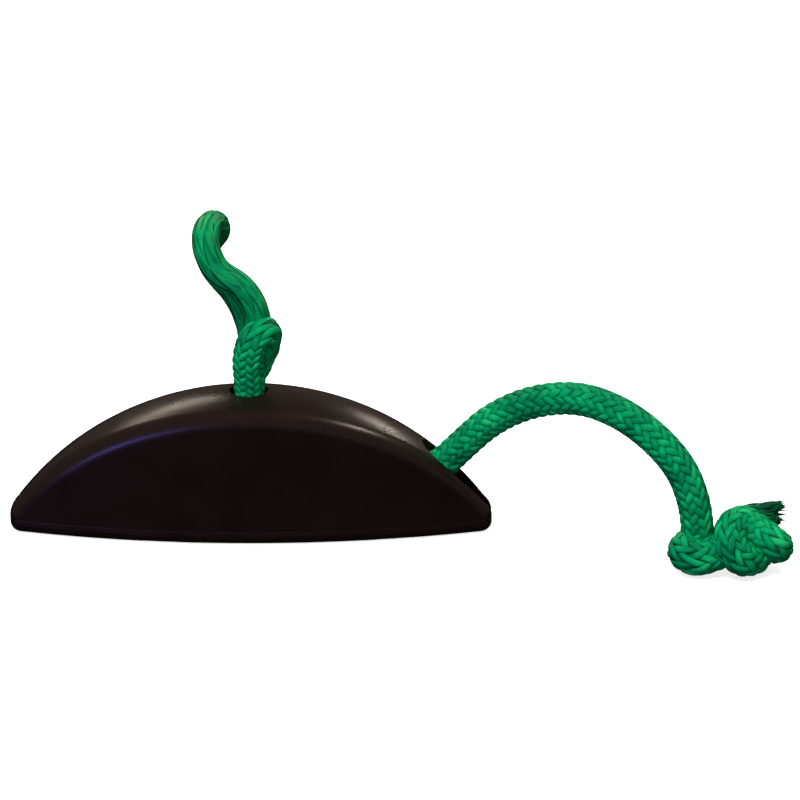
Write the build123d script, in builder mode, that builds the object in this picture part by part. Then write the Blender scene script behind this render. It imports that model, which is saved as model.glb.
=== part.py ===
"""Anchor-line lock: a boat-shaped dome on a base plate, with a sheave and a toothed jam slot for a braided line.

The line enters by the hole in the crown, turns under the sheave and leaves by the slot in the bow, where it is
pulled down between the teeth to hold. Millimetres. +X is the bow, +Z is up, the origin is under the middle of the base.
"""

import os
from math import cos, pi, radians, sin, sqrt, tan

from build123d import *

# Body
body_length = 160.0
body_half_width = 16.5
nose_half_width = 5.2472  # half-width of the outline at its ends, before they are rounded
nose_radius = 4.5
inner_nose_radius = 2.0
body_height = 49.0
nose_height = 7.6043  # height of the crown's ridge at the two ends
crown_radius = 35.0  # radius across the crown
shoulder_radius = 6.0
wall = 3.0
base_thickness = 5.0
base_edge_radius = 3.3
seam_radius = 0.25

# Line
rope_diameter = 10.0
line_diameter = 8.0  # the same braid where the load has drawn it thin
slot_clearance = 0.8

# Sheave and what carries it
sheave_groove_radius = 14.0  # from the axle to the middle of the rope
flange_drop = 1.0  # the flanges end this far inside the middle of the rope
flange_thickness = 1.2
groove_clearance = 0.3
rope_floor_gap = 1.0  # between the rope and the bracket's floor
lightening_rim = 1.25
lightening_count = 6
bush_radius = 4.0
axle_radius = 2.5
washer_radius = 5.2
washer_thickness = 0.5
running_clearance = 0.03
side_play = 0.1
bracket_thickness = 1.4
bracket_floor = 1.2
bracket_tab_half_width = 4.4
bracket_half_length = 17.0
cheek_rim = 2.0  # round each washer
cheek_shoulder = 1.6
axle_head_rim = 1.4
axle_head_thickness = 1.2
axle_end = 0.8
clip_gap = 0.15
clip_thickness = 0.6
clip_rim = 1.5
clip_mouth = 2.2
clip_play = 0.05
axle_groove_depth = 0.5
bracket_screw_reach = 21.0  # from the sheave to each bracket screw, along the body

# Fasteners
screw_radius = 1.5
screw_head_radius = 2.8
screw_head_height = 1.6
screw_head_rounding = 0.4
screw_bite = 3.8  # of each base screw in its insert
screw_hole_clearance = 0.15
socket_radius = 1.0
socket_depth = 1.0
thread_clearance = 0.02
head_clearance = 0.4
counterbore_z = 2.6
insert_radius = 2.1
insert_length = 5.0
boss_radius = 3.4
boss_height = 7.0
boss_x = 38.0
boss_bite = 0.6  # how far each boss runs into the side wall
mount_x = 52.0
mount_insert_radius = 3.2
mount_bore_radius = 2.1
mount_insert_length = 7.0
mount_boss_radius = 5.0
mount_boss_roof = 1.0
bracket_screw_floor = 0.8  # base left between the gasket and each bracket screw's tip
tip_gap = 0.2

# Gasket under the base
gasket_thickness = 1.0
foot_land = 0.25  # flat foot between the rounded base edge and the gasket's recess
gasket_clearance = 0.3

# Rope hole, jam slot and cleat
hole_clearance = 1.35
slot_reach = 17.4  # from the bow back to the middle of the slot's round end
slot_taper_reach = 11.0  # the slot's sides are parallel up to here
slot_toe_half_width = 1.6
cleat_reach = 20.0
cleat_set_back = 4.6
cleat_height_start = 10.0
cleat_height_end = 5.6
cleat_clearance = 0.3
vee_floor_z = 9.6
vee_half_width = 1.2
vee_slope = 0.9
tooth_pitch = 2.4
tooth_depth = 0.6
tooth_count = 6

half_length = body_length / 2
side_sag = body_half_width - nose_half_width
side_radius = (half_length**2 + side_sag**2) / (2 * side_sag)  # of the long sides in plan
crown_drop = body_height - nose_height
top_radius = (half_length**2 + crown_drop**2) / (2 * crown_drop)  # of the crown seen from the side
rope_radius = rope_diameter / 2
line_radius = line_diameter / 2
hole_radius = rope_radius + hole_clearance
slot_half_width = rope_radius + slot_clearance
slot_start_x = half_length - slot_reach
slot_taper_x = half_length - slot_taper_reach
cleat_start_x = half_length - cleat_reach
cleat_end_x = half_length - cleat_set_back
gasket_inset = base_edge_radius + foot_land
screw_tip_z = base_thickness + screw_bite
bracket_floor_top = base_thickness + bracket_floor
bracket_screw_tip_z = gasket_thickness + bracket_screw_floor
sheave_x = sheave_groove_radius  # so that the rope comes straight down from the hole
sheave_z = bracket_floor_top + rope_floor_gap + rope_radius + sheave_groove_radius
sheave_width = rope_diameter + 2 * flange_thickness
sheave_flange_radius = sheave_groove_radius - flange_drop
groove_floor_radius = sheave_groove_radius - rope_radius - groove_clearance
lightening_ring = (bush_radius + groove_floor_radius) / 2
lightening_radius = (groove_floor_radius - bush_radius) / 2 - lightening_rim


def side_y(x, half_width, radius):
    """Half-width of the boat-shaped plan at x."""
    return half_width - radius + sqrt(radius**2 - x**2)


def plan(z, inset=0.0):
    """The boat-shaped outline at height z, moved in by inset all round."""
    width = body_half_width - inset
    radius = side_radius - inset
    length = half_length - inset
    end = side_y(length, width, radius)
    with BuildSketch(Plane.XY.offset(z)) as outline:
        with BuildLine():
            ThreePointArc((-length, end), (0, width), (length, end))
            Line((length, end), (length, -end))
            ThreePointArc((length, -end), (0, -width), (-length, -end))
            Line((-length, -end), (-length, end))
        make_face()
        fillet(outline.vertices(), min(max(nose_radius - inset, inner_nose_radius), 0.85 * end))
    return outline.sketch


def dome(inset=0.0):
    """The boat-shaped plan under a crown that is round both ways, its shoulder rounded, from the seam up."""
    ridge = top_radius - inset
    across = crown_radius - inset
    half_band = 0.8 * across
    band_drop = across - sqrt(across**2 - half_band**2)
    axis_z = body_height - top_radius
    with BuildPart() as shape:
        with BuildSketch(Plane.YZ.offset(0)):
            with BuildLine():
                ThreePointArc(
                    (-half_band, axis_z - ridge + band_drop),
                    (0, axis_z - ridge),
                    (half_band, axis_z - ridge + band_drop),
                )
                Line((half_band, axis_z - ridge + band_drop), (half_band, axis_z))
                Line((half_band, axis_z), (-half_band, axis_z))
                Line((-half_band, axis_z), (-half_band, axis_z - ridge + band_drop))
            make_face()
        revolve(axis=Axis((0, 0, axis_z), (0, 1, 0)), revolution_arc=360)
        extrude(plan(-base_thickness, inset), amount=2 * body_height, mode=Mode.INTERSECT)
        crown = shape.faces().sort_by(Axis.Z)[-1]
        fillet(crown.edges(), shoulder_radius - inset)
        split(bisect_by=Plane.XY.offset(base_thickness), keep=Keep.TOP)
    return shape.part


def tube(points, radii, radius):
    """A rope along straight runs joined by tangent arcs."""
    with BuildPart() as rope:
        with BuildLine() as route:
            FilletPolyline(*points, radius=radii)
        with BuildSketch(Plane(origin=route.line @ 0, z_dir=route.line % 0)):
            Circle(radius)
        sweep()
    length = route.wires()[0].length
    print(f"rope length {length:.1f}, volume / (section x length) {rope.part.volume / (pi * radius**2 * length):.4f}")
    return rope.part


def free_radii(points):
    """The arc at each inner point, as large as its two runs allow."""
    places = [Vector(*p) for p in points]
    radii = []
    for before, here, after in zip(places, places[1:], places[2:]):
        turn = radians((here - before).get_angle(after - here))
        shorter = min((here - before).length, (after - here).length)
        radii.append(0.45 * shorter / tan(turn / 2))
    print("arc radii", [round(r, 1) for r in radii])
    return radii


# Where the five base screws, the two mounting inserts and the two bracket screws stand
boss_y = side_y(boss_x, body_half_width, side_radius) - wall + boss_bite - boss_radius
boss_places = [(sx * boss_x, sy * boss_y) for sx in (-1, 1) for sy in (-1, 1)]
cleat_screw_place = ((cleat_start_x + cleat_end_x) / 2, 0)
base_screw_places = boss_places + [cleat_screw_place]
mount_places = [(-mount_x, 0), (mount_x, 0)]
bracket_screw_places = [(sheave_x - bracket_screw_reach, 0), (sheave_x + bracket_screw_reach, 0)]

# Housing: the moulded dome, hollow, with four insert bosses, the rope hole and the slot through the bow
with BuildPart() as housing:
    add(dome())
    fillet(housing.faces().sort_by(Axis.Z)[0].edges(), seam_radius)
    add(dome(wall), mode=Mode.SUBTRACT)
    with BuildSketch(Plane.XY.offset(base_thickness)):
        with Locations(*boss_places):
            Circle(boss_radius)
    extrude(amount=boss_height)
    with BuildSketch(Plane.XY.offset(base_thickness)):
        with Locations(*boss_places):
            Circle(insert_radius)
    extrude(amount=insert_length, mode=Mode.SUBTRACT)
    with BuildSketch(Plane.XY.offset(base_thickness)):
        Circle(hole_radius)
    extrude(amount=2 * body_height, mode=Mode.SUBTRACT)
    with BuildSketch(Plane.XY):
        with BuildLine():
            ThreePointArc(
                (slot_start_x, -slot_half_width),
                (slot_start_x - slot_half_width, 0),
                (slot_start_x, slot_half_width),
            )
            Polyline(
                (slot_start_x, slot_half_width),
                (slot_taper_x, slot_half_width),
                (half_length + wall, slot_toe_half_width),
                (half_length + wall, -slot_toe_half_width),
                (slot_taper_x, -slot_half_width),
                (slot_start_x, -slot_half_width),
            )
        make_face()
    extrude(amount=2 * body_height, mode=Mode.SUBTRACT)

# Base plate: the same outline, with its gasket recess, counterbores and the two bosses of the mounting inserts
with BuildPart() as base_plate:
    extrude(plan(0), amount=base_thickness)
    fillet(base_plate.faces().sort_by(Axis.Z)[0].edges(), base_edge_radius)
    fillet(base_plate.faces().sort_by(Axis.Z)[-1].edges(), seam_radius)
    extrude(plan(0, gasket_inset), amount=gasket_thickness, mode=Mode.SUBTRACT)
    with BuildSketch(Plane.XY.offset(base_thickness)):
        with Locations(*mount_places):
            Circle(mount_boss_radius)
    extrude(amount=gasket_thickness + mount_insert_length + mount_boss_roof - base_thickness)
    with BuildSketch(Plane.XY.offset(gasket_thickness)):
        with Locations(*mount_places):
            Circle(mount_insert_radius)
    extrude(amount=mount_insert_length, mode=Mode.SUBTRACT)
    with BuildSketch(Plane.XY):
        with Locations(*base_screw_places):
            Circle(screw_head_radius + head_clearance)
    extrude(amount=counterbore_z, mode=Mode.SUBTRACT)
    with BuildSketch(Plane.XY):
        with Locations(*base_screw_places):
            Circle(screw_radius + screw_hole_clearance)
    extrude(amount=base_thickness, mode=Mode.SUBTRACT)
    with BuildSketch(Plane.XY.offset(base_thickness)):
        with Locations(*bracket_screw_places):
            Circle(screw_radius + thread_clearance)
    extrude(amount=bracket_screw_tip_z - tip_gap - base_thickness, mode=Mode.SUBTRACT)

# Gasket: a thin rubber sheet, flush with the rim of the base, cut out at the screws and inserts
with BuildPart() as deck_gasket:
    extrude(plan(0, gasket_inset + gasket_clearance), amount=gasket_thickness)
    with BuildSketch(Plane.XY):
        with Locations(*base_screw_places):
            Circle(screw_head_radius + 2 * head_clearance)
        with Locations(*mount_places):
            Circle(mount_insert_radius + head_clearance)
    extrude(amount=gasket_thickness, mode=Mode.SUBTRACT)

# Five screws up through the base: four into the housing's inserts and one into the cleat
with BuildPart() as base_screws:
    with BuildSketch(Plane.XY.offset(counterbore_z - screw_head_height)):
        with Locations(*base_screw_places):
            Circle(screw_head_radius)
    extrude(amount=screw_head_height)
    fillet(base_screws.faces().group_by(Axis.Z)[0].edges(), screw_head_rounding)
    with BuildSketch(Plane.XY.offset(counterbore_z)):
        with Locations(*base_screw_places):
            Circle(screw_radius)
    extrude(amount=screw_tip_z - counterbore_z)
    with BuildSketch(Plane.XY.offset(counterbore_z - screw_head_height)):
        with Locations(*base_screw_places):
            RegularPolygon(socket_radius, 6)
    extrude(amount=socket_depth, mode=Mode.SUBTRACT)

# Brass inserts in the housing's bosses
with BuildPart() as boss_inserts:
    with BuildSketch(Plane.XY.offset(base_thickness)):
        with Locations(*boss_places):
            Circle(insert_radius)
            Circle(screw_radius + thread_clearance, mode=Mode.SUBTRACT)
    extrude(amount=insert_length)

# Brass inserts in the base, threaded for the deck bolts
with BuildPart() as mount_inserts:
    with BuildSketch(Plane.XY.offset(gasket_thickness)):
        with Locations(*mount_places):
            Circle(mount_insert_radius)
            Circle(mount_bore_radius, mode=Mode.SUBTRACT)
    extrude(amount=mount_insert_length)

# Sheave bracket: a bent steel saddle, two cheeks on a floor with a screw tab at each end
cheek_inner = sheave_width / 2 + 2 * side_play + washer_thickness
cheek_outer = cheek_inner + bracket_thickness
with BuildPart() as sheave_bracket:
    with BuildSketch(Plane.XY.offset(base_thickness)):
        with Locations((sheave_x, 0)):
            Rectangle(2 * bracket_half_length, 2 * cheek_outer)
            SlotOverall(2 * (bracket_screw_reach + bracket_tab_half_width), 2 * bracket_tab_half_width)
    extrude(amount=bracket_floor)
    for side in (-1, 1):
        near = min(side * cheek_inner, side * cheek_outer)
        with BuildSketch(Plane.XZ.offset(-near - bracket_thickness)) as cheek:
            with Locations((sheave_x, sheave_z)):
                Circle(washer_radius + cheek_rim)
            with BuildLine():
                Polyline(
                    (sheave_x - bracket_half_length, base_thickness),
                    (sheave_x + bracket_half_length, base_thickness),
                    (sheave_x + washer_radius + cheek_shoulder, sheave_z + 1),
                    (sheave_x - washer_radius - cheek_shoulder, sheave_z + 1),
                    close=True,
                )
            make_face()
            with Locations((sheave_x, sheave_z)):
                Circle(axle_radius + thread_clearance, mode=Mode.SUBTRACT)
        extrude(amount=bracket_thickness)
    with BuildSketch(Plane.XY.offset(base_thickness)):
        with Locations(*bracket_screw_places):
            Circle(screw_radius + screw_hole_clearance)
    extrude(amount=bracket_floor, mode=Mode.SUBTRACT)

# Two pan-head screws hold the bracket down to the base
with BuildPart() as bracket_screws:
    with BuildSketch(Plane.XY.offset(bracket_floor_top)):
        with Locations(*bracket_screw_places):
            Circle(screw_head_radius)
    extrude(amount=screw_head_height)
    fillet(bracket_screws.faces().group_by(Axis.Z)[-1].edges(), screw_head_rounding)
    with BuildSketch(Plane.XY.offset(bracket_screw_tip_z)):
        with Locations(*bracket_screw_places):
            Circle(screw_radius)
    extrude(amount=bracket_floor_top - bracket_screw_tip_z)

# Sheave: a grooved wheel with six lightening holes, turning about Y
sheave_plane = Plane(origin=(sheave_x, 0, sheave_z), x_dir=(1, 0, 0), z_dir=(0, 0, 1))
sheave_axis = Axis((sheave_x, 0, sheave_z), (0, 1, 0))
with BuildPart() as sheave:
    with BuildSketch(sheave_plane):
        with Locations(((bush_radius + sheave_flange_radius) / 2, 0)):
            Rectangle(sheave_flange_radius - bush_radius, sheave_width)
        with Locations((sheave_groove_radius, 0)):
            Circle(rope_radius + groove_clearance, mode=Mode.SUBTRACT)
    revolve(axis=sheave_axis)
    with BuildSketch(Plane.XZ.offset(-sheave_width / 2)):
        with Locations((sheave_x, sheave_z)):
            with PolarLocations(lightening_ring, lightening_count):
                Circle(lightening_radius)
    extrude(amount=sheave_width, mode=Mode.SUBTRACT)

# Bush pressed into the sheave
with BuildPart() as sheave_bush:
    with BuildSketch(Plane.XZ.offset(-sheave_width / 2)):
        with Locations((sheave_x, sheave_z)):
            Circle(bush_radius)
            Circle(axle_radius + running_clearance, mode=Mode.SUBTRACT)
    extrude(amount=sheave_width)

# Axle: headed pin through both cheeks, grooved for its clip
axle_tip = cheek_outer + clip_gap + clip_thickness + axle_end
with BuildPart() as sheave_axle:
    with BuildSketch(Plane.XZ.offset(-axle_tip)):
        with Locations((sheave_x, sheave_z)):
            Circle(axle_radius)
    extrude(amount=axle_tip + cheek_outer)
    with BuildSketch(Plane.XZ.offset(cheek_outer)):
        with Locations((sheave_x, sheave_z)):
            Circle(axle_radius + axle_head_rim)
    extrude(amount=axle_head_thickness)
    with BuildSketch(Plane.XZ.offset(-(cheek_outer + clip_gap + clip_thickness))):
        with Locations((sheave_x, sheave_z)):
            Circle(axle_radius)
            Circle(axle_radius - axle_groove_depth, mode=Mode.SUBTRACT)
    extrude(amount=clip_thickness, mode=Mode.SUBTRACT)

# Clip: an open ring in the axle's groove
with BuildPart() as axle_clip:
    with BuildSketch(Plane.XZ.offset(-(cheek_outer + clip_gap + clip_thickness - clip_play))):
        with Locations((sheave_x, sheave_z)):
            Circle(axle_radius + clip_rim)
            Circle(axle_radius - axle_groove_depth + clip_play, mode=Mode.SUBTRACT)
        with Locations((sheave_x, sheave_z + axle_radius)):
            Rectangle(clip_mouth, 2 * axle_radius, mode=Mode.SUBTRACT)
    extrude(amount=clip_thickness - 2 * clip_play)

# A nylon washer at each side of the sheave
with BuildPart() as sheave_washers:
    for y in (sheave_width / 2 + side_play, -sheave_width / 2 - side_play - washer_thickness):
        with BuildSketch(Plane.XZ.offset(-y - washer_thickness)):
            with Locations((sheave_x, sheave_z)):
                Circle(washer_radius)
                Circle(axle_radius + running_clearance, mode=Mode.SUBTRACT)
        extrude(amount=washer_thickness)

# Jam cleat: a toothed V-block between the sides of the slot
with BuildPart() as jam_cleat:
    cleat_inset = wall + cleat_clearance
    extrude(plan(base_thickness, cleat_inset), amount=cleat_height_start)
    with BuildSketch(Plane.XZ):
        with BuildLine():
            Polyline(
                (cleat_start_x, base_thickness),
                (cleat_end_x, base_thickness),
                (cleat_end_x, base_thickness + cleat_height_end),
                (cleat_start_x, base_thickness + cleat_height_start),
                close=True,
            )
        make_face()
    extrude(amount=body_half_width, both=True, mode=Mode.INTERSECT)
    vee_depth = cleat_height_start
    vees = [(0.0, cleat_start_x, cleat_end_x - cleat_start_x)]
    for tooth in range(tooth_count):
        vees.append((tooth_depth, cleat_start_x + 1 + tooth * tooth_pitch, tooth_pitch / 2))
    for deeper, start, length in vees:
        low = vee_half_width + deeper
        with BuildSketch(Plane.YZ.offset(start)):
            with BuildLine():
                Polyline(
                    (-low, vee_floor_z),
                    (low, vee_floor_z),
                    (low + vee_depth * vee_slope, vee_floor_z + vee_depth),
                    (-low - vee_depth * vee_slope, vee_floor_z + vee_depth),
                    close=True,
                )
            make_face()
        extrude(amount=length, mode=Mode.SUBTRACT)
    with BuildSketch(Plane.XY.offset(base_thickness)):
        with Locations(cleat_screw_place):
            Circle(screw_radius + thread_clearance)
    extrude(amount=screw_bite + tip_gap, mode=Mode.SUBTRACT)

# Rope through the body: down the hole, under the sheave and up out of the slot
wrap = radians(102.0)
rise = wrap - pi / 2
knot_seat_gap = 0.3
knot_seat_z = body_height + knot_seat_gap
corner_reach = sheave_groove_radius / cos(wrap / 4)
first_corner = (sheave_x - sheave_groove_radius, 0, sheave_z - sheave_groove_radius * tan(wrap / 4))
second_corner = (
    sheave_x - corner_reach * cos(3 * wrap / 4),
    0,
    sheave_z - corner_reach * sin(3 * wrap / 4),
)
mouth = (slot_start_x, 0, second_corner[2] + (slot_start_x - second_corner[0]) * tan(rise))
mouth_run = 12.0
lean = Vector(0.70, -0.15, 0.70).normalized()
rope_exit = tuple(Vector(*mouth) + lean * mouth_run)
sheave_arc = sheave_groove_radius - 0.2
with BuildPart() as inner_rope:
    add(
        tube(
            [(first_corner[0], 0, knot_seat_z), first_corner, second_corner, mouth, rope_exit],
            [sheave_arc, sheave_arc, 24.0],
            rope_radius,
        )
    )

# Tail: springs up out of the slot, arches over and drops to the surface beside the bow
tail_points = [
    rope_exit,
    tuple(Vector(*rope_exit) + lean * 15.0),
    (97.5, -13.0, 51.2),
    (115.5, -21.5, 53.0),
    (131.5, -28.8, 45.2),
    (143.0, -35.6, 32.2),
    (146.4, -40.4, 16.5),
]
with BuildPart() as tail_rope:
    add(tube(tail_points, free_radii(tail_points), rope_radius))

# Tail knot: the rope folds on the surface into an overhand knot, with its short cut end above
fold = Vector(*tail_points[-1])
knot_y = -42.0
fold_plane = Plane(origin=fold, z_dir=fold - Vector(*tail_points[-2]))
with BuildPart() as tail_knot:
    with BuildSketch(fold_plane):
        Circle(rope_radius)
    extrude(amount=7.0)
    with Locations((fold.X - 0.8, knot_y, 7.0)):
        Sphere(6.8)
    with Locations((159.5, knot_y, 10.9)):
        Sphere(10.7)
    with Locations((169.0, knot_y - 1, 8.6)):
        Sphere(8.3)
    with Locations((151.0, knot_y, 7.4)):
        Sphere(6.4)
    with BuildSketch(Plane(origin=(160, knot_y, 17.6), z_dir=(1, -0.1, 0.22))):
        Circle(4.4)
    extrude(amount=17.0)

# Neck knot: a half hitch that stops the line at the hole
neck_knot_height = 24.9
with BuildPart() as neck_knot:
    with BuildSketch(Plane.XZ) as knot_profile:
        with BuildLine():
            Line((0, 0), (6.2, 0))
            ThreePointArc((6.2, 0), (8.7, neck_knot_height / 2), (4.6, neck_knot_height))
            Line((4.6, neck_knot_height), (0, neck_knot_height))
            Line((0, neck_knot_height), (0, 0))
        make_face()
    revolve(axis=Axis.Z)
neck_knot_x = 1.6
neck_knot.part = Pos(neck_knot_x, 0, knot_seat_z) * neck_knot.part
neck_top = knot_seat_z + neck_knot_height

# Coil: two flat turns of the line behind the body
coil_centre = (0, 65)
coil_outer = 45.0
coil_turns = 2
coil_height = line_diameter + 0.3
coil_inner = coil_outer - coil_turns * line_diameter
with BuildPart() as line_coil:
    with BuildSketch():
        with Locations(coil_centre):
            Circle(coil_outer)
            Circle(coil_inner, mode=Mode.SUBTRACT)
    extrude(amount=coil_height)

# The line's end, knotted, lies against the inside of the coil
end_knot_radius = 9.0
with BuildPart() as line_end_knot:
    with Locations((coil_centre[0] - coil_inner + end_knot_radius + 0.3, coil_centre[1], end_knot_radius)):
        Sphere(end_knot_radius)

# Line: climbs from the knot, turns back over itself and drops to its coil behind the body
line_points = [
    (1.6, 0, neck_top),
    (1.6, 0, 80.5),
    (-4.4, 0.2, 88.6),
    (-12.2, 4.5, 92.0),
    (-15.6, 14.5, 96.4),
    (-14.4, 28.5, 101.4),
    (-14.2, 42.5, 100.2),
    (-17.4, 52.5, 90.5),
    (-15.6, 56.0, 77.0),
    (-5.8, 55.5, 65.0),
    (-0.5, 54.0, 51.5),
    (2.0, 49.0, 37.0),
    (2.5, 39.0, 25.5),
    (2.5, 30.5, 18.0),
    (2.5, 30.5, coil_height),
]
with BuildPart() as line_rope:
    add(tube(line_points, free_radii(line_points), line_radius))

pieces = {
    "housing": housing,
    "base_plate": base_plate,
    "deck_gasket": deck_gasket,
    "base_screws": base_screws,
    "boss_inserts": boss_inserts,
    "mount_inserts": mount_inserts,
    "sheave_bracket": sheave_bracket,
    "bracket_screws": bracket_screws,
    "sheave": sheave,
    "sheave_bush": sheave_bush,
    "sheave_axle": sheave_axle,
    "axle_clip": axle_clip,
    "sheave_washers": sheave_washers,
    "jam_cleat": jam_cleat,
    "inner_rope": inner_rope,
    "tail_rope": tail_rope,
    "tail_knot": tail_knot,
    "neck_knot": neck_knot,
    "line_rope": line_rope,
    "line_coil": line_coil,
    "line_end_knot": line_end_knot,
}
os.makedirs("parts", exist_ok=True)
for name, piece in pieces.items():
    piece.part.label = name
    export_step(piece.part, f"parts/{name}.step")
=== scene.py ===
# %% [markdown]
# # Anchor-line lock with a braided line
# A small deck fitting that holds a boat's anchor line. Its body is a glossy, near-black plastic dome on a
# base plate, and a green braided line comes in at the crown and leaves at the bow. The hard parts come from
# the CAD frame and get only their finish here. The line is soft, so it is modelled here, yarn by yarn.
#
# Lengths are in metres and in the CAD frame: +X is the bow, +Z is up and the deck is at zero.

# %% Load the frame
import math
import random

import bmesh
import bpy
import numpy as np
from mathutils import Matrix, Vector


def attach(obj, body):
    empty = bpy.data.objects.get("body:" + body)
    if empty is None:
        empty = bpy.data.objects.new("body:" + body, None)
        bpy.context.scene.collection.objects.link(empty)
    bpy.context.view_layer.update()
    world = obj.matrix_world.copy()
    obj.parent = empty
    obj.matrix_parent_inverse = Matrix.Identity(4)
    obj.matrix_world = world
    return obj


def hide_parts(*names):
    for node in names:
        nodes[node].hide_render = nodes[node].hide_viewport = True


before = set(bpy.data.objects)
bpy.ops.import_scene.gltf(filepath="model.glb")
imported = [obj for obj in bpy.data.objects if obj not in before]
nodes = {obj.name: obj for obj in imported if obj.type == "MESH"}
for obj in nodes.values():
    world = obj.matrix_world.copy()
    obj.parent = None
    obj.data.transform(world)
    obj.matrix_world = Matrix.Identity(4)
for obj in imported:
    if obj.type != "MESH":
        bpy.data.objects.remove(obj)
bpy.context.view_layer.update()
mm = 0.001

# %% [markdown]
# ## Camera
# The fitting is seen from its starboard side, twenty degrees above the deck. The lens is long and far away,
# which keeps the perspective weak, so the dome shows nearly its true proportions.

# %% Camera
look_at = Vector((49.5, 0, 45.1)) * mm
camera_distance = 900 * mm
camera_elevation = math.radians(20)
toward_camera = Vector((0, -math.cos(camera_elevation), math.sin(camera_elevation)))
camera_data = bpy.data.cameras.new("camera")
camera_data.lens = 123.5
camera_data.sensor_width = 36
camera_data.clip_start = 0.05
camera = bpy.data.objects.new("camera", camera_data)
camera.location = look_at + toward_camera * camera_distance
camera.rotation_mode = "QUATERNION"
camera.rotation_quaternion = (-toward_camera).to_track_quat("-Z", "Y")
bpy.context.scene.collection.objects.link(camera)
bpy.context.scene.camera = camera
print("camera at", tuple(round(v, 3) for v in camera.location))

# %% [markdown]
# ## The middle of a line
# A rope is a length of something flexible, so its middle is one smooth curve. A NURBS spline draws it near a
# few given points. Blender is asked for the finished curve's points, and everything that follows the
# line is built on those.

# %% Route of a line
def smooth_route(points):
    """Points along the NURBS spline that has the given control points, in millimetres."""
    curve = bpy.data.curves.new("route", "CURVE")
    curve.dimensions = "3D"
    curve.resolution_u = 24
    spline = curve.splines.new("NURBS")
    spline.points.add(len(points) - 1)
    for place, point in zip(spline.points, points):
        place.co = (*(Vector(point) * mm), 1)
    spline.order_u = 3
    spline.use_endpoint_u = True
    holder = bpy.data.objects.new("route", curve)
    mesh = bpy.data.meshes.new_from_object(holder)
    line = np.array([v.co for v in mesh.vertices])
    bpy.data.objects.remove(holder)
    bpy.data.meshes.remove(mesh)
    return line


# %% [markdown]
# Each point of the line also needs a side and an up direction, so that a yarn knows where it is on the
# line's round. A frame that always looked at the sky would flip where the line stands upright, so each frame
# is the one before it, tipped by the bend between them.

# %% Frames along a line
def frames_along(line, step):
    """The line at even steps, with its distances and two side directions that turn as little as can be."""
    along = np.r_[0, np.cumsum(np.linalg.norm(np.diff(line, axis=0), axis=1))]
    even = np.linspace(0, along[-1], round(along[-1] / step) + 1)
    middle = np.stack([np.interp(even, along, line[:, k]) for k in range(3)], 1)
    tangent = np.gradient(middle, axis=0)
    tangent /= np.linalg.norm(tangent, axis=1, keepdims=True)
    start = np.cross(tangent[0], (0.0, 1.0, 0.0))
    side = [start / np.linalg.norm(start)]
    for here in tangent[1:]:
        carried = side[-1] - here * (side[-1] @ here)
        side.append(carried / np.linalg.norm(carried))
    side = np.array(side)
    return {"along": even, "middle": middle, "side": side, "up": np.cross(tangent, side), "turn_before": 0.0}


def part_of(frames, start, end, lead):
    """The same frames between two distances, and how far the yarns have turned before them."""
    keep = (frames["along"] >= start - 1e-9) & (frames["along"] <= end + 1e-9)
    part = {name: values[keep] for name, values in frames.items() if name != "turn_before"}
    return part | {"turn_before": 2 * math.pi * float(part["along"][0]) / lead}


# %% [markdown]
# ## Tubes that follow a line
# A yarn is a tube whose section is a flat oval. Blender's curve bevel can't turn the oval's flat side
# outwards all the way round a helix, so each tube starts as a grid, with a UV map that runs round and along
# it. Its rows are laid out as rings, then the seam is welded, the ends are capped and the normals are turned
# outwards.

# %% Skin of rings
def skin(name, tubes):
    """One piece made of closed tubes. A tube is (rings, tone, height), with rings as rows of points."""
    bm = bmesh.new()
    bm.loops.layers.uv.new("yarn")
    for rings, _, _ in tubes:
        rows, sides = rings.shape[:2]
        bmesh.ops.create_grid(bm, x_segments=sides, y_segments=rows - 1, size=0.5, calc_uvs=True)
    mesh = bpy.data.meshes.new(name)
    bm.to_mesh(mesh)
    bm.free()
    closed_rings = [np.concatenate([rings, rings[:, :1]], 1) for rings, _, _ in tubes]
    closed_heights = [np.concatenate([height, height[:, :1]], 1) for _, _, height in tubes]
    closed_tones = [np.full(height.size, tone) for (_, tone, _), height in zip(tubes, closed_heights)]
    mesh.vertices.foreach_set("co", np.concatenate([rings.reshape(-1, 3) for rings in closed_rings]).ravel())
    for attribute, values in (("height", closed_heights), ("tone", closed_tones)):
        values = np.concatenate([value.ravel() for value in values])
        mesh.attributes.new(attribute, "FLOAT", "POINT").data.foreach_set("value", values)
    around_along = np.empty(len(mesh.loops) * 2)
    mesh.uv_layers[0].data.foreach_get("uv", around_along)
    lengths = [np.linalg.norm(np.diff(rings[:, 0], axis=0), axis=1).sum() for rings, _, _ in tubes]
    corners = [4 * (rings.shape[0] - 1) * rings.shape[1] for rings, _, _ in tubes]
    around_along[1::2] *= np.repeat(np.array(lengths) / mm, corners)  # so V is a length in millimetres
    mesh.uv_layers[0].data.foreach_set("uv", around_along)
    weld = bmesh.new()
    weld.from_mesh(mesh)
    bmesh.ops.remove_doubles(weld, verts=weld.verts, dist=1e-7)
    bmesh.ops.holes_fill(weld, edges=[e for e in weld.edges if e.is_boundary], sides=0)
    bmesh.ops.recalc_face_normals(weld, faces=weld.faces)
    weld.to_mesh(mesh)
    weld.free()
    mesh.shade_smooth()
    piece = bpy.data.objects.new(name, mesh)
    bpy.context.scene.collection.objects.link(piece)
    triangles = sum(len(face.vertices) - 2 for face in mesh.polygons)
    print(name, "tubes", len(tubes), "triangles", triangles)
    return piece


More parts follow.
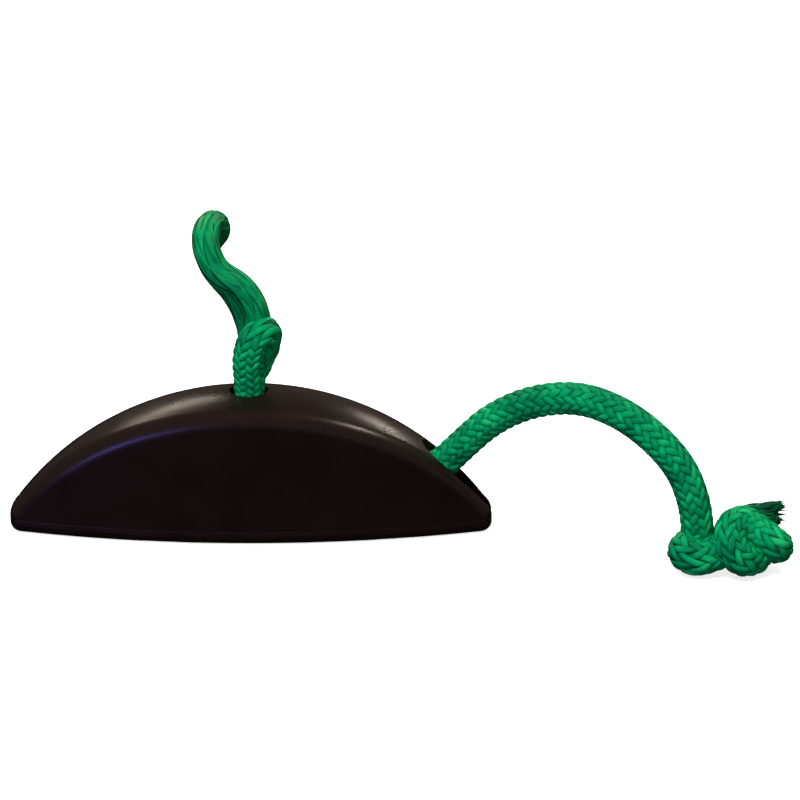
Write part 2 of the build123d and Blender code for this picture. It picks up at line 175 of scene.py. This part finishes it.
# %% [markdown]
# ## How a braid is built
# The line is a twenty-four-carrier braid: twelve flat yarns wind one way and twelve the other, and each goes
# over two and under two, which draws columns of small Vs along the line. A bump map can't give the scalloped
# outline or the dark gaps between the columns, so every yarn is real here. Its middle follows a helix, and it
# rises over two yarns and sinks under the next two, so its height depends only on where it is on the line's
# round. Inside is a plain core, which closes the small gaps.
#
# Yarn height, wave and cover are shares: of the radius, of the radius and of the room that a yarn has.

# %% Braid
def braid(name, frames, radius, lead, carriers=12, sides=8, yarn_height=0.1, wave=0.085, cover=1.12):
    """A braided rope on the given frames. Radius and lead are numbers or one value for each point."""
    count = len(frames["along"])
    radius, lead = (np.broadcast_to(np.asarray(value, float), (count,)) for value in (radius, lead))
    turning = 2 * math.pi / lead
    turned = np.cumsum((turning[1:] + turning[:-1]) / 2 * np.diff(frames["along"]))
    turn = np.r_[0, turned] + frames["turn_before"]
    half_height, rise = yarn_height * radius, wave * radius
    helix_radius = radius - half_height - rise
    slope = np.arctan(2 * math.pi * helix_radius / lead)
    half_width = cover * math.pi * helix_radius / carriers * np.cos(slope)
    section = np.arange(sides) / sides * 2 * math.pi
    flat_across = np.sign(np.cos(section)) * np.abs(np.cos(section)) ** 0.75
    dice = random.Random(1)
    tubes = []
    for hand in (1, -1):
        for carrier in range(carriers):
            angle = hand * turn + carrier * 2 * math.pi / carriers
            ripple = hand * np.cos(carriers / 2 * angle - math.pi / 4)
            out = np.cos(angle)[:, None] * frames["side"] + np.sin(angle)[:, None] * frames["up"]
            yarn = frames["middle"] + out * (helix_radius + rise * ripple)[:, None]
            run = np.gradient(yarn, axis=0)
            run /= np.linalg.norm(run, axis=1, keepdims=True)
            out -= run * np.sum(out * run, axis=1, keepdims=True)
            out /= np.linalg.norm(out, axis=1, keepdims=True)
            width = half_width * dice.uniform(0.9, 1.04) * (1 + 0.08 * ripple)
            rings = yarn[:, None] + (
                np.cross(run, out)[:, None] * (width[:, None] * flat_across)[..., None]
                + out[:, None] * (half_height[:, None] * np.sin(section))[..., None]
            )
            # How high a point stands on the line's round; the finish paints shade by it, darker down in the
            # gaps.
            height = 0.5 + 0.3 * ripple[:, None] + 0.2 * np.sin(section)
            tubes.append((rings, dice.random(), height))
    core_sides = 12
    core_section = np.arange(core_sides) / core_sides * 2 * math.pi
    core = frames["middle"][:, None] + (helix_radius - half_height)[:, None, None] * (
        frames["side"][:, None] * np.cos(core_section)[:, None]
        + frames["up"][:, None] * np.sin(core_section)[:, None]
    )
    # The core has the lowest height, so it gets the darkest painted shade.
    tubes.append((core, 0.5, np.zeros(core.shape[:2])))
    return skin(name, tubes)


# %% [markdown]
# ## The tail
# The line springs up out of the slot in the bow, arches over and comes down to the deck. There it folds back
# on itself and ends in a big overhand knot. One route runs through all of it, so the yarns pass into the knot
# without a break, but the knot is its own piece, because it is where the line ends.

# %% Tail's sizes and route
rope_radius = 5.45 * mm  # to the tops of the yarns, which stand a little proud of the nominal size
braid_lead = 41 * mm  # the length of one turn of a yarn
braid_step = 0.42 * mm  # eight points from one crossing to the next
tail_points = [
    (40.0, 0, 17.3),
    (52.0, 0, 19.9),
    (61.4, 0, 20.6),
    (70.4, -1.9, 30.5),
    (79.6, -5.6, 40.8),
    (92.7, -11.5, 49.2),
    (107.4, -17.2, 52.4),
    (120.3, -22.4, 49.0),
    (131.0, -27.0, 42.1),
    (139.5, -30.4, 32.9),
    (143.5, -32.4, 22.6),
    (144.8, -32.6, 14.6),
]
knot_points = [
    (145.2, -32.6, 9.6),
    (141.8, -33.4, 6.8),
    (140.2, -37.4, 7.2),
    (143.2, -41.2, 6.2),
    (149.2, -39.4, 7.0),
    (155.2, -35.6, 8.2),
    (161.7, -32.5, 7.2),
    (167.9, -32.8, 7.0),
    (170.8, -37.5, 8.6),
    (167.9, -41.2, 12.0),
    (162.7, -37.5, 15.4),
    (157.7, -36.8, 18.0),
    (154.1, -40.5, 15.8),
    (154.5, -43.4, 11.0),
    (158.3, -43.6, 6.6),
    (163.9, -38.5, 5.8),
    (163.7, -30.0, 6.0),
    (159.2, -27.5, 11.2),
    (160.3, -31.0, 16.8),
    (166.6, -33.5, 18.1),
    (171.2, -34.6, 18.8),
    (174.8, -35.2, 20.2),
]

# %% Tail
tail_frames = frames_along(smooth_route(tail_points + knot_points), braid_step)
knot_entry_height = 15 * mm
far_leg = 140 * mm  # the leg that comes down from the arch is past this X
leg_x, _, leg_height = tail_frames["middle"].T
knot_entry = tail_frames["along"][np.argmax((leg_height < knot_entry_height) & (leg_x > far_leg))]
cut_end = tail_frames["along"][-1]
tail_piece_frames = part_of(tail_frames, 0, knot_entry, braid_lead)
tail = braid("tail_line", tail_piece_frames, rope_radius, braid_lead)
print("tail", round(float(knot_entry), 4), "and knot", round(float(cut_end - knot_entry), 4))

# %% Overhand knot
knot_end = cut_end - 9 * mm  # the braid has come undone from here on
knot_frames = part_of(tail_frames, knot_entry, knot_end, braid_lead)
into_knot = (knot_frames["along"] - knot_entry) / (knot_frames["along"][-1] - knot_entry)
swell_at = [0, 0.06, 0.14, 0.24, 0.34, 0.62, 0.7, 0.8, 0.92, 1]
swell = [1, 1.05, 1.1, 1.08, 1, 1, 1.06, 1, 0.85, 0.6]
knot_radius = rope_radius * np.interp(into_knot, swell_at, swell)
tail_knot = braid("tail_overhand_knot", knot_frames, knot_radius, braid_lead)

# %% [markdown]
# The tail was cut and not sealed, so its last stretch has opened into dark, dirty clumps of fibre. They are
# thin tubes that follow the same route as the knot, gathered in clumps that part towards the cut end.

# %% Frayed end
def frayed_end(name, frames, clumps, fibres, radius):
    """Loose bundles of fibre on the last stretch of a line. They part into clumps towards its cut end."""
    dice = random.Random(4)
    share = (frames["along"] - frames["along"][0]) / (frames["along"][-1] - frames["along"][0])
    fibre_sides = 5
    round_fibre = np.arange(fibre_sides) / fibre_sides * 2 * math.pi
    thinnest, thickest, kink = 0.3 * mm, 0.5 * mm, 0.5 * mm
    tubes = []
    for clump in range(clumps):
        angle, out = 2 * math.pi * clump / clumps + dice.uniform(-0.3, 0.3), dice.uniform(0.55, 1.0)
        twist, tone, end = dice.uniform(-1.2, 1.2), dice.random() ** 2, dice.uniform(0.72, 1.0)
        for _ in range(fibres):
            wander = [dice.uniform(-1, 1) for _ in range(4)]
            last = max(4, round(len(share) * end * dice.uniform(0.86, 1.0)))
            s = share[:last, None]
            turn = angle + twist * s + 0.25 * wander[0]
            reach = radius * (out + 0.2 * wander[1]) * (0.85 + 0.35 * s**2)
            side, up = frames["side"][:last], frames["up"][:last]
            bend = kink * np.sin(s * 9 + 6 * wander[2])
            path = frames["middle"][:last]
            path = path + side * (np.cos(turn) * reach + bend) + up * (np.sin(turn) * reach - bend)
            taper = np.interp(np.linspace(0, 1, last), [0, 0.8, 1], [1, 0.9, 0.35])
            thick = dice.uniform(thinnest, thickest) * taper
            rings = path[:, None] + thick[:, None, None] * (
                side[:, None] * np.cos(round_fibre)[:, None] + up[:, None] * np.sin(round_fibre)[:, None]
            )
            height = np.full(rings.shape[:2], 0.6 + 0.3 * wander[3])
            tubes.append((rings, min(1, tone + 0.15 * abs(wander[3])), height))
    return skin(name, tubes)


frayed_length = 18 * mm
frayed_frames = part_of(tail_frames, cut_end - frayed_length, cut_end, braid_lead)
every_other = {name: values[::2] for name, values in frayed_frames.items() if name != "turn_before"}
brush = frayed_end("tail_frayed_end", every_other, clumps=14, fibres=10, radius=4.0 * mm)

# %% [markdown]
# ## The line through the body
# It shows only at the crown hole and in the slot, but it runs the whole way, round the sheave. At the crown
# it is hitched: the thick line comes up in front, folds over to the right and goes down behind.

# %% Inner line
inner_points = [
    (40.0, 0, 17.3),
    (24.0, 0, 14.0),
    (10.4, 0, 11.1),
    (0, 0, 19.5),
    (0, 0, 34.0),
]
hitch_points = [
    (0, 0, 42.0),
    (0.2, -0.4, 48.0),
    (0.5, -2.2, 54.0),
    (0.1, -3.6, 60.0),
    (1.2, -4.0, 66.0),
    (4.6, -2.8, 69.8),
    (6.7, -0.4, 68.6),
    (4.6, 1.0, 62.5),
    (2.2, 1.6, 56.0),
    (0.2, 1.8, 50.0),
]
inner_radius = 4.8 * mm  # squeezed a little inside the body
under_crown = 45 * mm  # where one piece hands over to the other, down in the crown hole
crown_frames = frames_along(smooth_route(inner_points + hitch_points), braid_step)
hitch_start = crown_frames["along"][np.argmax(crown_frames["middle"][:, 2] > under_crown)]
inner_frames = part_of(crown_frames, 0, hitch_start, braid_lead)
inner = braid("inner_line", inner_frames, inner_radius, braid_lead, sides=6)

# %% [markdown]
# The hitch is pulled tight, so the line is packed short and thick where it stands in front, and drawn long
# and smooth where it goes over and down behind. Its radius and its lead change along it to show that.

# %% Crown hitch
hitch_frames = part_of(crown_frames, hitch_start, crown_frames["along"][-1], braid_lead)
up_hitch = (hitch_frames["along"] - hitch_start) / (hitch_frames["along"][-1] - hitch_start)
radius_at = [0, 0.2, 0.4, 0.55, 0.7, 0.85, 1]
hitch_radius = np.interp(up_hitch, radius_at, [5.0, 5.4, 5.4, 5.1, 5.6, 5.3, 3.6]) * mm
lead_at = [0, 0.25, 0.42, 0.55, 1]
hitch_lead = np.interp(up_hitch, lead_at, [38, 32, 30, 80, 110]) * mm
hitch = braid("crown_hitch", hitch_frames, hitch_radius, hitch_lead)

# %% [markdown]
# ## The line to the coil
# Above the hitch the line climbs, turns back over itself and drops behind the body to two neat turns on the
# deck, where it ends in a stopper knot inside the coil. The load has drawn its cover long, so the yarns run
# nearly straight and lie almost flat, and eight each way are enough to show them.

# %% Line's sizes and route
line_radius = 4.35 * mm  # it has flattened a little, so it looks wider than its nominal size
line_points = [
    (3.8, 3.2, 63.5),
    (3.6, 1.0, 70.5),
    (2.2, 0, 78.0),
    (-2.0, 0, 84.4),
    (-9.4, 0.4, 88.8),
    (-12.8, 2.2, 94.8),
    (-13.6, 7.0, 99.4),
    (-12.4, 14.0, 101.2),
    (-10.8, 22.0, 98.8),
    (-11.2, 31.0, 93.6),
    (-14.0, 41.5, 88.0),
    (-16.6, 50.5, 81.5),
    (-14.6, 54.5, 72.5),
    (-6.2, 55.5, 63.0),
    (-2.0, 54.0, 51.0),
    (-1.5, 49.0, 37.0),
    (-2.0, 38.5, 25.5),
    (-4.0, 29.5, 15.5),
    (-8.0, 25.0, 6.0),
]

# %% Coil's turns, in millimetres
coil_x, coil_y = 0, 65
lying = 4.7  # the line's middle when it lies on the deck
outer_ring, inner_ring = 41, 33
turns = 2
points_per_turn = 16
turn_points = []
for place in range(turns * points_per_turn):
    turns_done = place / points_per_turn
    angle = math.radians(-114) - 2 * math.pi * turns_done
    ring = float(np.interp(turns_done, [0, 0.72, 1, 2], [outer_ring, outer_ring, inner_ring, inner_ring]))
    turn_points.append((coil_x + ring * math.cos(angle), coil_y + ring * math.sin(angle), lying))
print("coil points", len(turn_points))

# %% Stopper knot's route
end_points = [
    (-14.5, 36.0, lying),
    (-25.0, 43.5, lying),
    (-27.5, 55.0, 5.0),
]
stopper_points = [
    (-24.5, 63.0, 7.0),
    (-16.5, 69.5, 11.0),
    (-12.0, 64.0, 12.5),
    (-19.0, 58.5, 9.0),
    (-26.5, 66.5, 5.0),
    (-22.0, 73.0, 7.5),
    (-16.0, 66.0, 6.0),
    (-11.5, 59.0, 5.0),
    (-8.5, 54.0, 4.8),
]
stopper_begins = np.array((-26.0, 58.5, 5.5)) * mm

# %% Line and stopper knot
drawn_lead = 170 * mm
drawn_yarn = {"carriers": 8, "sides": 6, "yarn_height": 0.075, "wave": 0.004, "cover": 1.3}
drawn_step = 0.8 * mm
line_frames = frames_along(smooth_route(line_points + turn_points + end_points + stopper_points), drawn_step)
past_descent = line_frames["along"] > 300 * mm  # leaves out the stretch that comes down over the coil
from_stopper = np.linalg.norm(line_frames["middle"] - stopper_begins, axis=1)
stopper_start = line_frames["along"][np.argmin(np.where(past_descent, from_stopper, 1))]
line_piece_frames = part_of(line_frames, 0, stopper_start, drawn_lead)
line = braid("anchor_line", line_piece_frames, line_radius, drawn_lead, **drawn_yarn)
stopper_frames = part_of(line_frames, stopper_start, line_frames["along"][-1], drawn_lead)
stopper = braid("line_stopper_knot", stopper_frames, line_radius, drawn_lead, **drawn_yarn)
print("line to its stopper knot", round(float(stopper_start), 4))

# %% [markdown]
# ## The line pieces on the body
# The tail leaves the body at the slot, and the line leaves it at the crown, where the hitch holds it. Each
# yarn piece is hung on the body, and the CAD parts that it stands for are hidden.

# %% Line pieces on the body, CAD stand-ins hidden
for piece, stands_for in (
    (tail, ["tail_rope"]),
    (tail_knot, ["tail_knot"]),
    (brush, []),
    (inner, ["inner_rope"]),
    (hitch, ["neck_knot"]),
    (line, ["line_rope", "line_coil"]),
    (stopper, ["line_end_knot"]),
):
    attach(piece, "body")
    if stands_for:
        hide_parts(*stands_for)

# %% [markdown]
# ## Materials
# Every finish is procedural. Colours are written as sRGB hex values, as a paint chart gives them, and one
# function turns them into the linear values that the shaders need. One more function adds a node.

# %% Colour and node helpers
def colour(hex_value):
    """The linear RGBA of an sRGB hex colour."""
    parts = [int(hex_value[k : k + 2], 16) / 255 for k in (1, 3, 5)]
    return (*[p / 12.92 if p <= 0.04045 else ((p + 0.055) / 1.055) ** 2.4 for p in parts], 1)


def add(tree, kind, settings=None, **inputs):
    """A node with its settings and its inputs. An input is a value or another node's output socket."""
    node = tree.nodes.new("ShaderNode" + kind)
    for name, value in (settings or {}).items():
        setattr(node, name, value)
    for name, value in inputs.items():
        socket = node.inputs[int(name[1:]) if name[0] == "_" else name.replace("_", " ")]
        if isinstance(value, bpy.types.NodeSocket):
            tree.links.new(value, socket)
        else:
            socket.default_value = value
    return node


def finish_named(name):
    """A new material with an empty node tree and its output node."""
    material = bpy.data.materials.new(name)
    material.use_nodes = True
    material.node_tree.nodes.clear()
    return material, material.node_tree


def surface(tree, **inputs):
    """The Principled shader, linked to the output."""
    shader = add(tree, "BsdfPrincipled", **inputs)
    output = add(tree, "OutputMaterial")
    tree.links.new(shader.outputs[0], output.inputs[0])


def ramp(tree, factor, *stops):
    """A colour ramp with (position, hex colour) stops."""
    node = add(tree, "ValToRGB", Fac=factor)
    marks = node.color_ramp.elements
    while len(marks) < len(stops):
        marks.new(0.5)
    for mark, (position, hex_value) in zip(marks, stops):
        mark.position, mark.color = position, colour(hex_value)
    return node.outputs["Color"]


# %% [markdown]
# ### Polyester braid
# The line is spun polyester, dyed green. Each yarn is a bundle of fine filaments that run along it, so it
# shines in streaks. Down in the gaps between the yarns its colour is darkened as painted shade, with a little
# dirt. Real filaments are 0.02 mm thick, far too fine to show, so the streaks here stand for small bundles
# of them, about 0.5 mm wide on the braid and wider on the drawn line. They follow the yarn's own UV map,
# which runs once round the yarn and counts millimetres along it.

# %% Polyester braid
def dyed_polyester(name, shade, low, middle_tone, high, streaks=9):
    """Green yarn. Shade is how bright the painted shade at the bottom of a gap is, and streaks are counted
    round the yarn.
    """
    streaks_per_mm = 0.35  # along the yarn, so a streak is about 3 mm long
    streak_relief = 0.06 * mm
    patches_per_metre = 110  # uneven dye, in patches 9 mm across
    material, tree = finish_named(name)
    where = add(tree, "UVMap", {"uv_map": "yarn"}).outputs["UV"]
    streak_place = add(tree, "Mapping", Vector=where, Scale=(streaks, streaks_per_mm, 1)).outputs[0]
    streak = add(tree, "TexNoise", Vector=streak_place, Scale=1.0, Detail=3.0, Roughness=0.6).outputs["Fac"]
    body_place = add(tree, "TexCoord").outputs["Object"]
    patches = add(tree, "TexNoise", Vector=body_place, Scale=patches_per_metre, Detail=2.0).outputs["Fac"]
    tone = add(tree, "Attribute", {"attribute_name": "tone"}).outputs["Fac"]
    height = add(tree, "Attribute", {"attribute_name": "height"}).outputs["Fac"]
    mixed = add(tree, "Math", {"operation": "MULTIPLY_ADD"}, _0=streak, _1=0.5, _2=patches).outputs[0]
    mixed = add(tree, "Math", {"operation": "MULTIPLY_ADD"}, _0=tone, _1=0.25, _2=mixed).outputs[0]
    level = add(tree, "MapRange", _0=mixed, _1=0.6, _2=1.25, _3=0.0, _4=1.0).outputs[0]
    dyed = ramp(tree, level, (0.0, low), (0.5, middle_tone), (1.0, high))
    # Painted shade: the base colour darkens with the height attribute, down to the shade value at the bottom
    # of the gaps.
    painted_gap_shade = add(tree, "MapRange", _0=height, _1=0.2, _2=0.9, _3=shade, _4=1.0).outputs[0]
    multiply = {"data_type": "RGBA", "blend_type": "MULTIPLY"}
    tint = add(tree, "Mix", multiply, _0=1.0, _6=dyed, _7=painted_gap_shade).outputs[2]
    relief = add(tree, "Bump", Strength=0.6, Distance=streak_relief, Height=streak).outputs[0]
    surface(
        tree,
        Base_Color=tint,
        Roughness=0.42,
        Specular_IOR_Level=0.35,
        Specular_Tint=colour("#8fe8bd"),
        Normal=relief,
    )
    return material


# The first number is how bright the painted shade is at the bottom of a gap between the yarns.
braid_finish = dyed_polyester("dyed_polyester_braid", 0.1, "#006640", "#009057", "#1fb86c")
drawn_finish = dyed_polyester("drawn_polyester_cover", 0.45, "#006a42", "#028a50", "#22a660", streaks=3)
frayed_finish = dyed_polyester("frayed_polyester", 0.25, "#02281a", "#075c3a", "#1b9a60")
for piece in (tail, tail_knot, inner, hitch):
    piece.data.materials.append(braid_finish)
for piece in (line, stopper):
    piece.data.materials.append(drawn_finish)
brush.data.materials.append(frayed_finish)
print("line finishes", braid_finish.name, drawn_finish.name, frayed_finish.name)

# %% [markdown]
# ### Moulded plastic
# The dome is injection-moulded ABS, dyed brown-black in a semi-gloss mould. The pigment is so dark that
# nearly all one sees is reflection, so the roughness matters most: smooth enough to hold the lights as long
# soft streaks, and broken up a little by the mould's fine grain and by handling.

# %% Moulded ABS
def moulded_abs(name, dark, light, roughness):
    """Dark plastic whose gloss wanders a little about the given roughness."""
    clouds_per_metre = 55  # where hands have dulled it, in patches 18 mm across
    grains_per_metre = 2600  # 0.4 mm apart, coarser than a real mould's grain so that it shows
    material, tree = finish_named(name)
    place = add(tree, "TexCoord").outputs["Object"]
    clouds = add(
        tree, "TexNoise", Vector=place, Scale=clouds_per_metre, Detail=4.0, Roughness=0.55
    ).outputs["Fac"]
    grain = add(tree, "TexNoise", Vector=place, Scale=grains_per_metre, Detail=2.0).outputs["Fac"]
    tint = ramp(tree, clouds, (0.3, dark), (0.75, light))
    smooth, dull = roughness - 0.03, roughness + 0.04
    gloss = add(tree, "MapRange", _0=clouds, _1=0.3, _2=0.7, _3=smooth, _4=dull).outputs[0]
    relief = add(tree, "Bump", Strength=0.12, Distance=0.02 * mm, Height=grain).outputs[0]
    surface(tree, Base_Color=tint, Roughness=gloss, IOR=1.5, Normal=relief)
    return material


# %% [markdown]
# ### Rubber, metals and small plastics
# The gasket is matt EPDM rubber. The bracket, axle, clip and screws are drawn or stamped stainless steel, the
# inserts are turned brass, the washers are nylon and the sheave is turned acetal.

# %% Rubber
def moulded_rubber():
    """Matt black rubber with a fine bloom."""
    specks_per_metre = 900  # 1 mm apart
    material, tree = finish_named("epdm_rubber")
    place = add(tree, "TexCoord").outputs["Object"]
    speck = add(tree, "TexNoise", Vector=place, Scale=specks_per_metre, Detail=3.0).outputs["Fac"]
    tint = ramp(tree, speck, (0.35, "#121213"), (0.7, "#1e1e1f"))
    relief = add(tree, "Bump", Strength=0.3, Distance=0.05 * mm, Height=speck).outputs[0]
    surface(tree, Base_Color=tint, Roughness=0.82, IOR=1.5, Normal=relief)
    return material


# %% Brushed metal
def brushed_metal(name, dark, light, roughness, stretch):
    """Metal with fine marks. Stretch squeezes them across X, Y and Z, so they run along the axis with a 1."""
    marks_per_metre = 900
    material, tree = finish_named(name)
    place = add(tree, "TexCoord").outputs["Object"]
    drawn = add(tree, "Mapping", Vector=place, Scale=stretch).outputs[0]
    marks = add(
        tree, "TexNoise", Vector=drawn, Scale=marks_per_metre, Detail=3.0, Roughness=0.65
    ).outputs["Fac"]
    tint = ramp(tree, marks, (0.3, dark), (0.7, light))
    smooth, dull = roughness - 0.05, roughness + 0.07
    gloss = add(tree, "MapRange", _0=marks, _1=0.3, _2=0.7, _3=smooth, _4=dull).outputs[0]
    relief = add(tree, "Bump", Strength=0.15, Distance=0.01 * mm, Height=marks).outputs[0]
    surface(tree, Base_Color=tint, Metallic=1.0, Roughness=gloss, Normal=relief)
    return material


# %% Turned plastic
def turned_plastic(name, dark, light, roughness):
    """Pale plastic that lets a little light in."""
    clouds_per_metre = 220  # 5 mm across
    material, tree = finish_named(name)
    place = add(tree, "TexCoord").outputs["Object"]
    clouds = add(tree, "TexNoise", Vector=place, Scale=clouds_per_metre, Detail=3.0).outputs["Fac"]
    tint = ramp(tree, clouds, (0.3, dark), (0.7, light))
    relief = add(tree, "Bump", Strength=0.1, Distance=0.02 * mm, Height=clouds).outputs[0]
    surface(tree, Base_Color=tint, Roughness=roughness, IOR=1.48, Subsurface_Weight=0.05, Normal=relief)
    return material


# %% Finishes on the CAD parts
finishes = {
    "housing": moulded_abs("moulded_abs_dome", "#100806", "#160d0a", 0.28),
    "base_plate": moulded_abs("moulded_abs_base", "#100807", "#150c0a", 0.38),
    "jam_cleat": moulded_abs("moulded_abs_cleat", "#0f0a0b", "#150f10", 0.36),
    "deck_gasket": moulded_rubber(),
    "sheave": turned_plastic("turned_acetal", "#d9d6cb", "#e6e3d8", 0.35),
    "sheave_washers": turned_plastic("nylon_washer", "#cfcabb", "#ded9ca", 0.45),
}
steel = brushed_metal("stainless_steel", "#8f9193", "#b4b6b8", 0.3, (1, 6, 6))
brass = brushed_metal("turned_brass", "#b08d4a", "#cfae6a", 0.32, (6, 6, 1))
for name in ("base_screws", "bracket_screws", "sheave_bracket", "sheave_axle", "axle_clip"):
    finishes[name] = steel
for name in ("boss_inserts", "mount_inserts", "sheave_bush"):
    finishes[name] = brass
for name, finish in finishes.items():
    mesh = nodes[name].data
    mesh.materials.clear()
    mesh.materials.append(finish)
print("finished CAD parts", len(finishes))

# %% [markdown]
# ## Floor and light
# The floor is plain white, and glows a little so that it is as white under the fitting as far away. The dome
# mirrors the room, so the room is dim: its flat side stays nearly black, and its streaks are the reflections
# of four narrow boxes, three warm and one violet. Two wide boxes light the line, and the dome doesn't mirror
# them.

# %% Floor
floor_mesh = bpy.data.meshes.new("floor")
bm = bmesh.new()
bmesh.ops.create_grid(bm, x_segments=1, y_segments=1, size=6)
bm.to_mesh(floor_mesh)
bm.free()
floor = bpy.data.objects.new("floor", floor_mesh)
bpy.context.scene.collection.objects.link(floor)
floor_finish, tree = finish_named("matt_white_floor")
surface(
    tree,
    Base_Color=colour("#ffffff"),
    Roughness=1.0,
    Specular_IOR_Level=0.0,
    Emission_Color=colour("#ffffff"),
    Emission_Strength=0.75,
)
floor_mesh.materials.append(floor_finish)
floor.visible_glossy = False
floor.visible_diffuse = False  # a white floor's fill would wash out the shade between the yarns
print("floor", floor.name)

# %% Room light
# Dim and warm, a little darker at the back, and darker still below the horizon.
world = bpy.data.worlds.new("studio")
bpy.context.scene.world = world
world.use_nodes = True
sky = world.node_tree
sky.nodes.clear()
looking = add(sky, "TexCoord").outputs["Generated"]
split = add(sky, "SeparateXYZ", Vector=looking)
back = add(sky, "MapRange", _0=split.outputs["Y"], _1=-0.1, _2=0.6, _3=0.2, _4=0.12).outputs[0]
horizon = add(sky, "MapRange", _0=split.outputs["Z"], _1=-0.06, _2=0.06, _3=0.1, _4=1.0).outputs[0]
level = add(sky, "Math", {"operation": "MULTIPLY"}, _0=back, _1=horizon).outputs[0]
background = add(sky, "Background", Color=colour("#ffe9dc"), Strength=level)
output = add(sky, "OutputWorld")
sky.links.new(background.outputs[0], output.inputs[0])
print("room", world.name)


# %% Soft boxes
def soft_box(name, direction, distance, width, height, power, hex_value="#ffffff"):
    """A rectangular light that faces the fitting from the given direction, with its sides in metres."""
    data = bpy.data.lights.new(name, "AREA")
    data.shape = "RECTANGLE"
    data.size, data.size_y = width, height
    data.energy = power
    data.color = colour(hex_value)[:3]
    box = bpy.data.objects.new(name, data)
    toward = Vector(direction).normalized()
    box.location = Vector((0.02, 0, 0.03)) + toward * distance
    box.rotation_mode = "QUATERNION"
    box.rotation_quaternion = (-toward).to_track_quat("-Z", "Y")
    bpy.context.scene.collection.objects.link(box)
    return box


warm, violet = "#fff0dc", "#8a80ff"
near, far = 1.2, 1.4
soft_box("behind_left", (-0.38, 0.69, 0.6), near, 0.5, 0.06, 1.7, warm)
soft_box("behind_right", (0.43, 0.76, 0.47), near, 0.25, 0.04, 1.0, warm)
soft_box("above_right", (0.53, 0.02, 0.84), near, 0.22, 0.08, 2.2, warm)
soft_box("low_left_violet", (-0.56, -0.8, 0.1), far, 0.6, 0.22, 2.6, violet)
key = soft_box("above_front", (-0.2, -0.45, 0.87), far, 0.5, 0.5, 22)
fill = soft_box("front_fill", (0.1, -0.98, 0.1), far, 1.0, 0.3, 6)
for light in (key, fill):
    light.visible_glossy = False
bpy.context.scene.view_settings.view_transform = "Standard"
